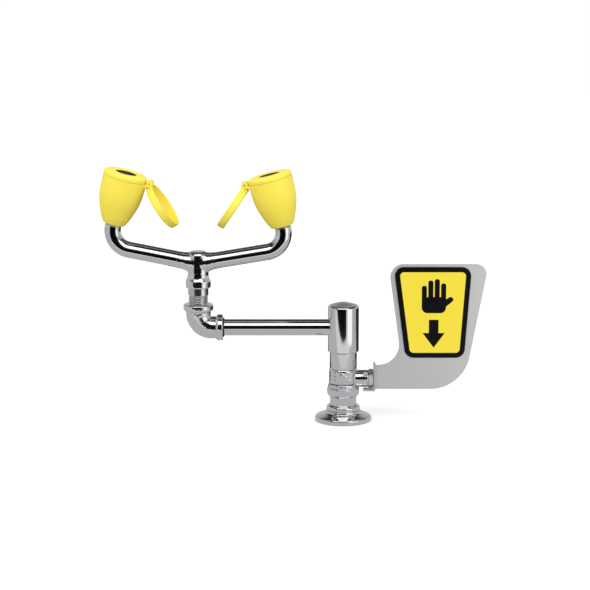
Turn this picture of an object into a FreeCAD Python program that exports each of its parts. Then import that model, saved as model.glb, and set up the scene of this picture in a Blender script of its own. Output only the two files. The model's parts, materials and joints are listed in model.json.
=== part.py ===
import FreeCAD, Part
import os
from math import cos, hypot, pi, radians, sin, sqrt, tan

os.makedirs("parts", exist_ok=True)

V = FreeCAD.Vector
X_AXIS = V(1, 0, 0)
Y_AXIS = V(0, 1, 0)
Z_AXIS = V(0, 0, 1)

# Fits, mm
running_gap = 0.05      # radial gap of every running fit
body_gap = 0.4          # gap between bodies that only pass each other

# Standard pipe, mm
pipe_outer_r = 8.5725   # 3/8 inch iron pipe size
pipe_inner_r = 6.26
half_inch_r = 10.67     # 1/2 inch iron pipe size
inlet_wall_r = 9.5      # mean wall of the female 1/2 inch inlet
inlet_length = 14.0

# Deck flange and riser
flange_r = 29.3
flange_rim = 5.4
flange_cone_top = 8.5
boss_r = 18.3
boss_upper_r = 17.3
boss_step_z = 11.5
boss_top = 17.2
riser_r = 13.8
riser_top = 26.1
riser_spigot_r = 11.4
riser_spigot = 6.9
water_r = 5.8
gasket_inner_r = 20.0
gasket_outer_r = 26.0
gasket_thick = 1.2

# Ball valve
end_cap_r = 16.7
end_cap_low_r = 14.5
end_cap_step_z = 35.8
end_cap_neck_r = 15.5
valve_split_z = 40.6
valve_body_r = 14.65
valve_top = 55.9
stem_z = 44.8
ball_r = 10.0
ball_bore_r = 5.2
seat_cavity_r = 11.0
seat_near = 6.0         # nearest seat face to the ball's centre
seat_far = 9.2          # far seat face
seat_fixing_r = 9.0
stem_r = 4.0
stem_collar_r = 5.6
stem_collar_in = 10.4
stem_collar_out = 11.8
tang_width = 3.0
tang_depth_x = 7.6
boss_out_r = 9.1
boss_end_x = 26.0
packing_r = 6.5
packing_start_x = 17.0
packing_end_x = 22.0
nut_flats = 18.0
nut_end_x = 31.3
lug_start_x = 21.0
lug_end_x = 25.6
lug_out_r = 12.6
lug_width = 2.6

# Swivel
neck_r = 14.15
neck_top = 73.9
washer_r = 12.9
washer_inner_r = 10.2
washer_sunk = 0.5
washer_thick = 0.85
spindle_r = 10.0
spindle_bore_r = 6.0
spindle_top = 116.0
port_r = 3.2
ring_height = 2.2
ring_root_r = 7.9
ring_lower_z = 83.0
ring_upper_z = 108.6
retainer_z = 113.0
retainer_thick = 1.2
retainer_root_r = 8.6
retainer_r = 12.0
swivel_r = 16.2
swivel_top = 123.2
swivel_shoulder_z = 112.6
chamber_r = 11.8
chamber_low = 92.0
chamber_high = 107.0
cap_chamber_r = 13.0
cap_seat_z = 120.2
dome_top = 126.2
plug_r = 3.0
plug_hex = 2.4

# Arm pipe and elbow
arm_z = 99.4
arm_start_x = 12.6
arm_reach = 151.0
elbow_mouth = 25.5      # elbow axis to the pipe mouth
elbow_top = 124.3
elbow_bead = 6.2
elbow_bead_r = 15.6
elbow_side_bead = 5.8
elbow_side_bead_r = 13.7
elbow_leg_r = 12.9
elbow_side_r = 11.6
elbow_bend = 14.5
pipe_engaged = 12.5
seal_proud = 1.4275         # the ring stands out round the pipe
seal_r = pipe_outer_r + seal_proud
seal_thick = 1.6
nipple_low = 110.0
nipple_thread_top = 133.6
nipple_top = 150.5
nipple_thread_r = 10.2
thread_pitch = 1.814
thread_depth = 0.75

# Yoke
yoke_turn = -5.0        # the yoke sits a little off square on its nipple
hub_low = 141.8
hub_collar_top = 149.2
hub_collar_r = 13.0
hub_neck_r = 10.9
hub_neck_low = 152.6
hub_top = 179.8
hub_barrel_r = 10.9
hub_passage_r = 7.0
hub_fillet = 6.5
arms_meet_z = 167.2
arm_rise = 10.3
stub_length = 23.0
tube_inner_r = 6.9
arm_corner = 94.0       # hub axis to the meeting point of the tube's two straights
tube_bend_r = 20.5
head_lean = 14.5
head_base_reach = 24.0  # tube corner to the head's base

# Spray head, along its own axis from the base
adapter_engaged = 8.0
adapter_pitch = 1.411
adapter_groove = 0.6
head_r = 23.0
shell_top = 49.6
shell_shape = ((0.0, 0.500), (2.2, 0.548), (4.2, 0.600), (7.4, 0.670), (10.6, 0.726), (13.7, 0.778),
               (16.9, 0.826), (20.1, 0.874), (23.3, 0.911), (26.4, 0.939), (30.0, 0.965),
               (34.5, 0.985), (40.0, 0.996), (shell_top, 1.0))   # height, share of head_r
shell_stations = [(z, share * head_r) for z, share in shell_shape]
shell_wall = 2.5
seam_gap = 0.5
head_top = 55.7
outlet_r = 11.0
disc_r = 14.0
disc_thick = 2.0
disc_sunk = 0.5         # spray face below the ring's top
face_thick = 1.6
face_gap = 0.1
ring_spigot = 3.4
screen_z = 30.0
screen_thick = 1.2
screen_ledge = 1.2
regulator_r = 9.2
regulator_top = 14.5
regulator_hole_r = 1.2
regulator_circle_r = 4.2
spray_hole_r = 1.1
spray_circles = ((1, 0.0), (6, 3.9), (12, 7.6))   # holes, circle radius
screen_hole_r = 1.8
screen_circles = ((6, 6.0), (12, 12.0))
ear_gap = 3.5
ear_thick = 2.6
ear_r = 3.6
pin_r = 1.25
pin_up = 51.0

# Dust cap, closed position along the head's axis
cap_wall = 1.2
cap_inner_gap = 0.6     # head to the closed cap's inner wall
cap_r = head_r + cap_inner_gap + cap_wall
pin_out = cap_r + 1.9   # head axis to pin axis
cap_depth = 8.2
cap_plate = 1.6
cap_over = 0.45         # closed cap stays this far above the head
leaf_half = 3.1
knuckle_r = 2.6
cap_open_turn = 222.0

# Push flag
flag_thick = 1.9
flag_front = 12.6
flag_tab_x = 31.6
flag_tab_back = 8.4
flag_low = 36.2
flag_neck_top = 61.8
flag_top = 168.3
flag_bend = 1.6
lip_length = 10.7
lip_half = 5.0
lip_low = 31.9
washer_out_r = 6.6
washer_x = 1.2
handle_nut_flats = 13.0
handle_nut_x = 6.4
stem_end_x = 43.0
stem_flat = 3.1
sign_thick = 0.8


def save(node, shape):
    shape.exportStep("parts/" + node + ".step")


def rounded_edges(corners, place):
    """Edges of a closed outline whose corners are (a, b, radius)."""
    count = len(corners)
    trimmed = []
    for i, (a, b, radius) in enumerate(corners):
        before = corners[i - 1]
        after = corners[(i + 1) % count]
        here = V(a, b, 0)
        back = (V(before[0], before[1], 0) - here).normalize()
        ahead = (V(after[0], after[1], 0) - here).normalize()
        if radius <= 0:
            trimmed.append((here, None, here))
            continue
        half = back.getAngle(ahead) / 2
        reach = radius / tan(half)
        middle_way = (back + ahead).normalize()
        centre = here + middle_way * (radius / sin(half))
        trimmed.append((here + back * reach, centre - middle_way * radius, here + ahead * reach))
    edges = []
    for i, (start, middle, end) in enumerate(trimmed):
        if middle is not None:
            points = [place(p.x, p.y) for p in (start, middle, end)]
            edges.append(Part.Arc(*points).toShape())
        following = trimmed[(i + 1) % count][0]
        if (following - end).Length > 1e-6:
            edges.append(Part.makeLine(place(end.x, end.y), place(following.x, following.y)))
    return edges


def outline_face(corners, place):
    return Part.Face(Part.Wire(rounded_edges(corners, place)))


def turned(corners):
    """Solid of revolution about Z from corners (radius, height) or (radius, height, rounding)."""
    full = [tuple(c) + (0,) * (3 - len(c)) for c in corners]
    face = outline_face(full, lambda a, b: V(a, 0, b))
    return face.revolve(V(0, 0, 0), Z_AXIS, 360)


def rod(radius, low, high):
    return Part.makeCylinder(radius, high - low, V(0, 0, low))


def ring(outer, inner, low, high):
    return turned([(inner, low), (outer, low), (outer, high), (inner, high)])


def rod_x(radius, low, high, z):
    return Part.makeCylinder(radius, high - low, V(low, 0, z), X_AXIS)


def block(low, high):
    size = V(*high) - V(*low)
    return Part.makeBox(size.x, size.y, size.z, V(*low))


def hex_prism_x(flats, low, high, z):
    """Hexagon bar along X with two flats facing front and back, corners at top and bottom."""
    corner_r = flats / sqrt(3)
    points = [V(low, corner_r * sin(radians(60 * i)), z + corner_r * cos(radians(60 * i)))
              for i in range(6)]
    return Part.Face(Part.makePolygon(points + points[:1])).extrude(V(high - low, 0, 0))


def about_stem(corners):
    """Solid of revolution about the stem axis from corners (radius, x)."""
    shape = turned(corners)
    shape.rotate(V(0, 0, 0), Y_AXIS, 90)
    shape.translate(V(0, 0, stem_z))
    return shape


def chamfered_nut(flats, low, high, bore):
    corner_r = flats / sqrt(3)
    ease = corner_r - flats / 2 + 0.2
    envelope = about_stem([(0, low), (corner_r - ease, low), (corner_r + 0.01, low + ease / 2),
                           (corner_r + 0.01, high - ease / 2), (corner_r - ease, high), (0, high)])
    nut = hex_prism_x(flats, low, high, stem_z).common(envelope)
    return nut.cut(rod_x(bore, low - 1, high + 1, stem_z))


# ---- deck and valve ----

def build_flange():
    body = turned([(riser_r, 0), (flange_r - 0.6, 0, 0.4), (flange_r, 0.6, 0.4),
                   (flange_r, flange_rim, 1.0), (boss_r + 0.6, flange_cone_top, 0.5),
                   (boss_r, flange_cone_top + 0.4), (boss_r, boss_step_z, 0.8),
                   (boss_upper_r - 0.5, boss_step_z + 0.25), (boss_upper_r - 0.5, boss_step_z + 0.6),
                   (boss_upper_r, boss_step_z + 0.9), (boss_upper_r, boss_top - 2.0, 1.6),
                   (riser_r + 0.7, boss_top, 0.3), (riser_r, boss_top)])
    save("deck_flange", body.cut(ring(gasket_outer_r, gasket_inner_r, -1, gasket_thick)))
    save("deck_gasket", ring(gasket_outer_r, gasket_inner_r, 0, gasket_thick))


def build_riser():
    spigot_top = riser_top + riser_spigot
    body = turned([(inlet_wall_r, 0), (riser_r, 0), (riser_r, riser_top),
                   (riser_spigot_r, riser_top), (riser_spigot_r, spigot_top), (water_r, spigot_top),
                   (water_r, inlet_length + 3), (inlet_wall_r, inlet_length)])
    save("inlet_nipple", body)


def collar_bore():
    """Room for the stem's inner collar, shared by both halves of the valve."""
    return rod_x(stem_collar_r + running_gap, 6.0, stem_collar_out + body_gap, stem_z)


def build_end_cap():
    cavity_low = stem_z - seat_far
    line_r = end_cap_neck_r - 0.5
    body = turned([(riser_spigot_r, riser_top), (end_cap_low_r, riser_top), (end_cap_r, riser_top + 2.5, 0.8),
                   (end_cap_r, end_cap_step_z - 0.6, 0.5), (end_cap_neck_r + 0.5, end_cap_step_z),
                   (line_r, end_cap_step_z + 0.3), (line_r, end_cap_step_z + 0.9),
                   (end_cap_neck_r + 0.3, end_cap_step_z + 1.2), (end_cap_neck_r, valve_split_z - 0.9),
                   (line_r, valve_split_z - 0.5), (line_r, valve_split_z),
                   (seat_cavity_r, valve_split_z), (seat_cavity_r, cavity_low), (water_r, cavity_low),
                   (water_r, riser_top + riser_spigot), (riser_spigot_r, riser_top + riser_spigot)])
    save("valve_end_cap", body.cut(collar_bore()))


def stop_lugs():
    """Two lugs on the stem boss that the flag's lip meets, shut and fully open."""
    near = lip_half + body_gap
    far = near + lug_width
    root = boss_out_r - 5.0
    shut = block((lug_start_x, near, -lug_out_r), (lug_end_x, far, -root))
    opened = block((lug_start_x, -lug_out_r, near), (lug_end_x, -root, far))
    lugs = shut.fuse(opened).translated(V(0, 0, stem_z))
    return lugs.common(rod_x(lug_out_r, lug_start_x, lug_end_x, stem_z))


def build_valve_body():
    outside = turned([(0, valve_split_z), (valve_body_r - 0.4, valve_split_z),
                      (valve_body_r, valve_split_z + 0.5), (valve_body_r, valve_top - 1.0, 0.6),
                      (neck_r + 0.1, valve_top), (0, valve_top)])
    boss = rod_x(boss_out_r, 3.0, boss_end_x, stem_z)
    boss = boss.cut(rod(end_cap_r + 0.3, 20.0, valve_split_z))
    body = outside.fuse([boss, stop_lugs()]).removeSplitter()
    cavity_top = stem_z + seat_far
    body = body.cut(rod(seat_cavity_r, valve_split_z - 1, cavity_top))
    body = body.cut(rod(seat_fixing_r, cavity_top - 1, valve_top + 1))
    body = body.cut(collar_bore())
    body = body.cut(rod_x(stem_r + running_gap, 6.0, boss_end_x, stem_z))
    body = body.cut(rod_x(packing_r, packing_start_x, boss_end_x + 1, stem_z))
    save("valve_body", body)


def build_seats():
    clearance = Part.makeSphere(ball_r + running_gap, V(0, 0, stem_z))
    upper = ring(seat_cavity_r, water_r, stem_z + seat_near, stem_z + seat_far).cut(clearance)
    lower = ring(seat_cavity_r, water_r, stem_z - seat_far, stem_z - seat_near).cut(clearance)
    save("ball_seat_upper", upper)
    save("ball_seat_lower", lower)


def build_gland():
    running_r = stem_r + running_gap
    save("stem_packing", about_stem([(running_r, packing_start_x), (packing_r, packing_start_x),
                                     (packing_r, packing_end_x), (running_r, packing_end_x)]))
    nut = chamfered_nut(nut_flats, boss_end_x, nut_end_x, running_r)
    spigot = about_stem([(running_r, packing_end_x), (packing_r, packing_end_x),
                         (packing_r, boss_end_x), (running_r, boss_end_x)])
    save("gland_nut", nut.fuse(spigot).removeSplitter())


# ---- swivel ----

def build_post():
    seat_z = stem_z + seat_far
    floor_z = neck_top - washer_sunk
    ring_low_top = ring_lower_z + ring_height
    ring_up_top = ring_upper_z + ring_height
    retainer_top = retainer_z + retainer_thick
    body = turned([(water_r, seat_z), (seat_fixing_r, seat_z), (seat_fixing_r, valve_top),
                   (neck_r, valve_top), (neck_r, neck_top), (washer_r, neck_top), (washer_r, floor_z),
                   (spindle_r, floor_z), (spindle_r, ring_lower_z), (ring_root_r, ring_lower_z),
                   (ring_root_r, ring_low_top), (spindle_r, ring_low_top), (spindle_r, ring_upper_z),
                   (ring_root_r, ring_upper_z), (ring_root_r, ring_up_top), (spindle_r, ring_up_top),
                   (spindle_r, retainer_z), (retainer_root_r, retainer_z),
                   (retainer_root_r, retainer_top), (spindle_r, retainer_top),
                   (spindle_r, spindle_top - 0.6), (spindle_r - 0.6, spindle_top), (0, spindle_top),
                   (0, spindle_top - 5.0), (spindle_bore_r, spindle_top - 5.0),
                   (spindle_bore_r, valve_top + 6), (water_r, valve_top + 6)])
    ports = rod_x(port_r, -spindle_r - 1, spindle_r + 1, arm_z)
    crossing = ports.copy()
    crossing.rotate(V(0, 0, arm_z), Z_AXIS, 90)
    save("swivel_post", body.cut(ports).cut(crossing))
    save("thrust_washer", ring(washer_r, washer_inner_r, floor_z, floor_z + washer_thick))


def o_ring(low):
    squash = 0.7
    outer = spindle_r
    return turned([(ring_root_r, low), (outer, low, squash), (outer, low + ring_height, squash),
                   (ring_root_r, low + ring_height)])


def build_swivel_rings():
    save("swivel_ring_lower", o_ring(ring_lower_z))
    save("swivel_ring_upper", o_ring(ring_upper_z))
    clip = ring(retainer_r, retainer_root_r, retainer_z, retainer_z + retainer_thick)
    slot = block((-2.2, 0, retainer_z - 1), (2.2, retainer_r + 1, retainer_z + 3))
    save("swivel_retainer", clip.cut(slot))


def build_swivel_body():
    bore = spindle_r + running_gap
    low = neck_top - washer_sunk + washer_thick + running_gap
    body = turned([(bore, low), (swivel_r - 0.3, low), (swivel_r, low + 0.3), (swivel_r, swivel_top, 2.6),
                   (cap_chamber_r, swivel_top), (cap_chamber_r, swivel_shoulder_z),
                   (bore, swivel_shoulder_z), (bore, chamber_high), (chamber_r, chamber_high),
                   (chamber_r, chamber_low), (bore, chamber_low)])
    body = body.cut(rod_x(pipe_outer_r, -swivel_r - 2, -arm_start_x, arm_z))
    body = body.cut(rod_x(pipe_inner_r, -arm_start_x - 1, -chamber_r / 2, arm_z))
    save("swivel_body", body)


def build_swivel_cap():
    rise = dome_top - swivel_top
    rim = cap_chamber_r
    dome_r = (rim ** 2 + rise ** 2) / (2 * rise)
    centre_z = dome_top - dome_r
    steps = 5
    arc = []
    for i in range(1, steps):
        radius = rim + (plug_r - rim) * i / steps
        arc.append((radius, centre_z + sqrt(dome_r ** 2 - radius ** 2)))
    edge = [V(rim, 0, swivel_top)] + [V(r, 0, z) for r, z in arc]
    plug_edge_z = centre_z + sqrt(dome_r ** 2 - plug_r ** 2)
    edge.append(V(plug_r, 0, plug_edge_z))
    dome_line = Part.Arc(edge[0], edge[3], edge[-1]).toShape()
    others = [V(plug_r, 0, plug_edge_z), V(plug_r, 0, cap_seat_z), V(rim, 0, cap_seat_z),
              V(rim, 0, swivel_top)]
    lines = [Part.makeLine(a, b) for a, b in zip(others, others[1:])]
    cap = Part.Face(Part.Wire([dome_line] + lines)).revolve(V(0, 0, 0), Z_AXIS, 360)
    save("swivel_cap", cap)
    plug_top = plug_edge_z - 0.5
    plug = turned([(0, cap_seat_z), (plug_r, cap_seat_z), (plug_r, plug_top - 0.4), (plug_r - 0.4, plug_top),
                   (0, plug_top)])
    corners = [V(plug_hex / sqrt(3) * cos(radians(60 * i)), plug_hex / sqrt(3) * sin(radians(60 * i)),
                 plug_top - 2.2) for i in range(6)]
    socket = Part.Face(Part.makePolygon(corners + corners[:1])).extrude(V(0, 0, 5))
    save("swivel_plug", plug.cut(socket))


# ---- arm and elbow ----

def build_pipe():
    end = -arm_reach + elbow_mouth - pipe_engaged
    length = -arm_start_x - end
    pipe = Part.makeCylinder(pipe_outer_r, length, V(end, 0, arm_z), X_AXIS)
    save("arm_pipe", pipe.cut(rod_x(pipe_inner_r, end - 1, -arm_start_x + 1, arm_z)))
    face = -arm_reach + elbow_mouth
    seal = rod_x(seal_r, face, face + seal_thick, arm_z)
    save("pipe_seal_ring", seal.cut(rod_x(pipe_outer_r, face - 1, face + seal_thick + 1, arm_z)))


def elbow_bend_solid():
    """Quarter bend that swells from the pipe leg to the riser leg."""
    centre = V(elbow_bend, 0, arm_z + elbow_bend)
    steps = 8
    rings = []
    for i in range(steps + 1):
        angle = radians(270 - 90 * i / steps)
        middle = centre + V(cos(angle), 0, sin(angle)) * elbow_bend
        along = V(sin(angle), 0, -cos(angle))
        radius = elbow_side_r + (elbow_leg_r - elbow_side_r) * i / steps
        rings.append(Part.Wire(Part.makeCircle(radius, middle, along)))
    return Part.makeLoft(rings, True)


def build_elbow():
    bend = elbow_bend_solid()
    side_leg = rod_x(elbow_side_r, elbow_bend, elbow_mouth - 1, arm_z)
    leg = rod(elbow_leg_r, arm_z + elbow_bend, elbow_top - 1)
    top_bead = turned([(0, elbow_top - elbow_bead), (elbow_leg_r, elbow_top - elbow_bead - 1.2),
                       (elbow_bead_r, elbow_top - elbow_bead, 1.2), (elbow_bead_r, elbow_top, 1.4),
                       (0, elbow_top)])
    side_bead = turned([(0, 0), (elbow_side_r, -1.0), (elbow_side_bead_r, 0, 1.0),
                        (elbow_side_bead_r, elbow_side_bead, 1.2), (0, elbow_side_bead)])
    side_bead.rotate(V(0, 0, 0), Y_AXIS, 90)
    side_bead.translate(V(elbow_mouth - elbow_side_bead, 0, arm_z))
    body = bend.fuse([side_leg, leg, top_bead, side_bead])
    body = body.cut(rod_x(pipe_outer_r, elbow_mouth - pipe_engaged, elbow_mouth + 1, arm_z))
    body = body.cut(rod_x(pipe_inner_r, 0, elbow_mouth, arm_z))
    body = body.cut(Part.makeSphere(pipe_inner_r + 1.0, V(0, 0, arm_z)))
    body = body.cut(rod(pipe_inner_r + 1.0, arm_z, nipple_low + 1))
    body = body.cut(rod(nipple_thread_r, nipple_low, elbow_top + 1))
    body.translate(V(-arm_reach, 0, 0))
    save("elbow", body)


def thread_profile(radius, low, high, pitch, depth):
    """Profile points up a threaded wall, one groove per pitch."""
    points = []
    z = low
    while z + pitch <= high:
        points += [(radius, z + 0.12 * pitch), (radius - depth, z + 0.45 * pitch),
                   (radius - depth, z + 0.55 * pitch), (radius, z + 0.88 * pitch)]
        z += pitch
    return points


def build_nipple():
    thread = thread_profile(nipple_thread_r, elbow_top, nipple_thread_top, thread_pitch, thread_depth)
    body = turned([(pipe_inner_r + 1.0, nipple_low), (nipple_thread_r, nipple_low)] + thread
                  + [(nipple_thread_r, nipple_thread_top), (half_inch_r, nipple_thread_top + 0.8),
                     (half_inch_r, nipple_top), (pipe_inner_r + 1.0, nipple_top)])
    body.translate(V(-arm_reach, 0, 0))
    save("yoke_nipple", body)


# ---- yoke; built square on its own axis, then turned and moved to the end of the arm ----

def to_yoke(shape, half_turn=False):
    placed = shape.copy()
    if half_turn:
        placed.rotate(V(0, 0, 0), Z_AXIS, 180)
    placed.rotate(V(0, 0, 0), Z_AXIS, yoke_turn)
    placed.translate(V(-arm_reach, 0, 0))
    return placed


def save_pair(name, shape):
    save("right_" + name, to_yoke(shape))
    save("left_" + name, to_yoke(shape, True))


def arm_direction():
    return V(cos(radians(arm_rise)), 0, sin(radians(arm_rise)))


def arm_stub(radius, start, end, side):
    along = arm_direction()
    along.x *= side
    return Part.makeCylinder(radius, end - start, V(0, 0, arms_meet_z) + along * start, along)


def on_surface(edge, radius, side):
    """True for an edge that lies both on the hub's barrel and on the stub at that side."""
    along = arm_direction()
    along.x *= side
    for share in (0.2, 0.5, 0.8):
        first, last = edge.ParameterRange
        point = edge.valueAt(first + (last - first) * share)
        from_axis = (point - V(0, 0, arms_meet_z)).cross(along).Length
        if abs(from_axis - radius) > 0.01 or abs(hypot(point.x, point.y) - hub_barrel_r) > 0.01:
            return False
    return True


def build_hub():
    barrel = turned([(0, hub_low), (hub_collar_r - 0.5, hub_low), (hub_collar_r, hub_low + 0.6),
                     (hub_collar_r, hub_collar_top, 1.0), (hub_neck_r, hub_neck_low, 2.0),
                     (hub_barrel_r, hub_top, 3.2), (0, hub_top)])
    arms = arm_stub(pipe_outer_r, 0, stub_length, 1).fuse(arm_stub(pipe_outer_r, 0, stub_length, -1))
    body = barrel.fuse(arms).removeSplitter()
    joint_edges = [e for e in body.Edges
                   if on_surface(e, pipe_outer_r, 1) or on_surface(e, pipe_outer_r, -1)]
    body = body.makeFillet(hub_fillet, joint_edges)
    body = body.cut(rod(half_inch_r, hub_low - 1, nipple_top))
    body = body.cut(rod(hub_passage_r, nipple_top - 1, arms_meet_z + 2))
    bores = arm_stub(tube_inner_r, 0, stub_length + 1, 1).fuse(arm_stub(tube_inner_r, 0, stub_length + 1, -1))
    save("yoke_hub", to_yoke(body.cut(bores)))


def head_base():
    corner = V(arm_corner, 0, arms_meet_z + arm_corner * tan(radians(arm_rise)))
    up = V(-sin(radians(head_lean)), 0, cos(radians(head_lean)))
    return corner, up, corner + up * head_base_reach


def build_arm_tubes():
    along = arm_direction()
    corner, up, base = head_base()
    turn = degrees_between(along, up)
    trim = tube_bend_r * tan(radians(turn / 2))
    start = V(0, 0, arms_meet_z) + along * stub_length
    bend_start = corner - along * trim
    inward = V(-along.z, 0, along.x)
    centre = bend_start + inward * tube_bend_r
    pieces = []
    for radius in (pipe_outer_r, tube_inner_r):
        straight = Part.makeCylinder(radius, (bend_start - start).Length, start, along)
        disc = Part.Face(Part.Wire(Part.makeCircle(radius, bend_start, along)))
        pieces.append(straight.fuse(disc.revolve(centre, V(0, -1, 0), turn)).removeSplitter())
    save_pair("arm_tube", pieces[0].cut(pieces[1]))
    return trim


def degrees_between(a, b):
    return a.getAngle(b) * 180 / pi


def to_head(shape):
    """Moves a shape from the head's own axis (+X towards the hub) to the right head."""
    corner, up, base = head_base()
    placed = shape.copy()
    placed.rotate(V(0, 0, 0), Z_AXIS, 180)
    placed.rotate(V(0, 0, 0), Y_AXIS, -head_lean)
    placed.translate(base)
    return placed


def save_heads(name, shape):
    save_pair(name, to_head(shape))


def build_adapter(trim):
    low = trim - head_base_reach
    thread = thread_profile(pipe_outer_r, low, 0, adapter_pitch, adapter_groove)
    body = turned([(tube_inner_r, low), (pipe_outer_r - 0.2, low)] + thread
                  + [(pipe_outer_r, 0), (pipe_outer_r, adapter_engaged), (tube_inner_r, adapter_engaged)])
    save_heads("head_adapter", body)


def shell_outer():
    points = [V(r, 0, z) for z, r in shell_stations]
    curve = Part.BSplineCurve()
    curve.interpolate(points)
    lines = [points[-1], V(0, 0, shell_top), V(0, 0, 0), points[0]]
    edges = [curve.toShape()] + [Part.makeLine(a, b) for a, b in zip(lines, lines[1:])]
    return Part.Face(Part.Wire(edges)).revolve(V(0, 0, 0), Z_AXIS, 360)


def shell_inner():
    floor = [(z, r - shell_wall) for z, r in shell_stations if regulator_top < z < screen_z]
    ledge_r = shell_radius(screen_z) - shell_wall
    top_r = head_r - shell_wall
    return turned([(0, adapter_engaged), (regulator_r, adapter_engaged), (regulator_r, regulator_top)]
                  + [(r, z) for z, r in floor]
                  + [(ledge_r - screen_ledge, screen_z), (ledge_r, screen_z), (top_r, screen_z + 8),
                     (top_r, shell_top), (0, shell_top)])


def shell_radius(z):
    for (z0, r0), (z1, r1) in zip(shell_stations, shell_stations[1:]):
        if z0 <= z <= z1:
            return r0 + (r1 - r0) * (z - z0) / (z1 - z0)
    return head_r


def hinge_ears():
    root_r = head_r - 1.8
    seam_r = head_r + 0.35
    profile = [(root_r, pin_up - 5.6, 0), (root_r, shell_top, 0), (seam_r, shell_top, 0),
               (seam_r, pin_up + 1.5, 0), (pin_out - 1.0, pin_up + ear_r, 1.2),
               (pin_out + ear_r, pin_up + ear_r, 3.2), (pin_out + ear_r, pin_up - ear_r, 3.4),
               (pin_out - 0.8, pin_up - ear_r, 0)]
    front = outline_face(profile, lambda a, b: V(a, ear_gap, b)).extrude(V(0, ear_thick, 0))
    back = outline_face(profile, lambda a, b: V(a, -ear_gap - ear_thick, b)).extrude(V(0, ear_thick, 0))
    return front.fuse(back)


def drilled(piece, count, radius, hole_r):
    """Piece with upright through holes spaced round a circle."""
    for i in range(count):
        angle = 2 * pi * i / count
        place = V(radius * cos(angle), radius * sin(angle), 0)
        piece = piece.cut(Part.makeCylinder(hole_r, head_top + 1, place))
    return piece


def build_shell():
    shell = shell_outer().cut(shell_inner()).cut(rod(pipe_outer_r, -1, adapter_engaged + 1))
    ears = hinge_ears().cut(rod(head_r - 1.5, 0, shell_top + 20))
    shell = shell.fuse(ears).removeSplitter()
    pin_hole = Part.makeCylinder(pin_r, 40, V(pin_out, -20, pin_up), Y_AXIS)
    save_heads("head_shell", shell.cut(pin_hole))


def build_head_ring():
    inner = head_r - shell_wall
    ledge = shell_top + disc_thick
    body = turned([(disc_r, shell_top - ring_spigot), (inner, shell_top - ring_spigot), (inner, shell_top),
                   (head_r - seam_gap, shell_top), (head_r - seam_gap, shell_top + 0.5),
                   (head_r, shell_top + 0.8), (head_r - 0.15, head_top, 3.4),
                   (outlet_r + 1.0, head_top, 0.6), (outlet_r, head_top - 1.0),
                   (outlet_r, ledge), (disc_r, ledge)])
    save_heads("head_ring", body)
    face_r = outlet_r - face_gap
    face_top = head_top - disc_sunk
    under = face_top - face_thick
    disc = turned([(face_r - face_thick, shell_top), (disc_r, shell_top), (disc_r, ledge), (face_r, ledge),
                   (face_r, face_top, 0.4), (0, face_top), (0, under), (face_r - face_thick, under)])
    for count, radius in spray_circles:
        disc = drilled(disc, count, radius, spray_hole_r)
    save_heads("spray_disc", disc)


def build_head_inside():
    screen_r = shell_radius(screen_z) - shell_wall
    top_r = head_r - shell_wall
    edge_r = screen_r + (top_r - screen_r) * screen_thick / 8
    screen = turned([(0, screen_z), (screen_r, screen_z), (edge_r, screen_z + screen_thick),
                     (0, screen_z + screen_thick)])
    for count, radius in screen_circles:
        screen = drilled(screen, count, radius, screen_hole_r)
    save_heads("filter_screen", screen)
    puck = rod(regulator_r, adapter_engaged, regulator_top)
    save_heads("flow_regulator", drilled(puck, 6, regulator_circle_r, regulator_hole_r))
    reach = ear_gap + ear_thick
    save_heads("hinge_pin", Part.makeCylinder(pin_r, 2 * reach, V(pin_out, -reach, pin_up), Y_AXIS))


# ---- dust caps ----

def cap_closed():
    """Dust cap on its head, closed, with the hinge leaf at +X."""
    inner_z = head_top + cap_over
    top_z = inner_z + cap_plate
    low_z = top_z - cap_depth
    inner_r = cap_r - cap_wall
    dish = turned([(0, inner_z), (inner_r - 0.4, inner_z, 1.2), (inner_r, low_z), (cap_r - 0.3, low_z, 0.2),
                   (cap_r, low_z + 0.5), (cap_r - 0.2, top_z, 1.6), (0, top_z)])
    notch = block((cap_r - 6, -ear_gap - ear_thick - body_gap, low_z - 1),
                  (cap_r + 4, ear_gap + ear_thick + body_gap, pin_up + ear_r + body_gap))
    dish = dish.cut(notch)
    leaf_root = cap_r - cap_wall
    leaf_top = top_z - 0.4
    profile = [(leaf_root, pin_up + ear_r, 0), (leaf_root, leaf_top, 0), (pin_out - 1.5, leaf_top, 0.8),
               (pin_out + 0.67 * knuckle_r, pin_up + 0.74 * knuckle_r, 0), (pin_out - knuckle_r, pin_up, 0)]
    leaf = outline_face(profile, lambda a, b: V(a, -leaf_half, b)).extrude(V(0, 2 * leaf_half, 0))
    knuckle = Part.makeCylinder(knuckle_r, 2 * leaf_half, V(pin_out, -leaf_half, pin_up), Y_AXIS)
    leaf = leaf.fuse(knuckle)
    cap = dish.fuse(leaf).removeSplitter()
    return cap.cut(Part.makeCylinder(pin_r + running_gap, 40, V(pin_out, -20, pin_up), Y_AXIS))


def build_caps():
    cap = cap_closed()
    cap.rotate(V(pin_out, 0, pin_up), Y_AXIS, cap_open_turn)
    save_heads("dust_cap", cap)


# ---- push handle ----

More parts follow.
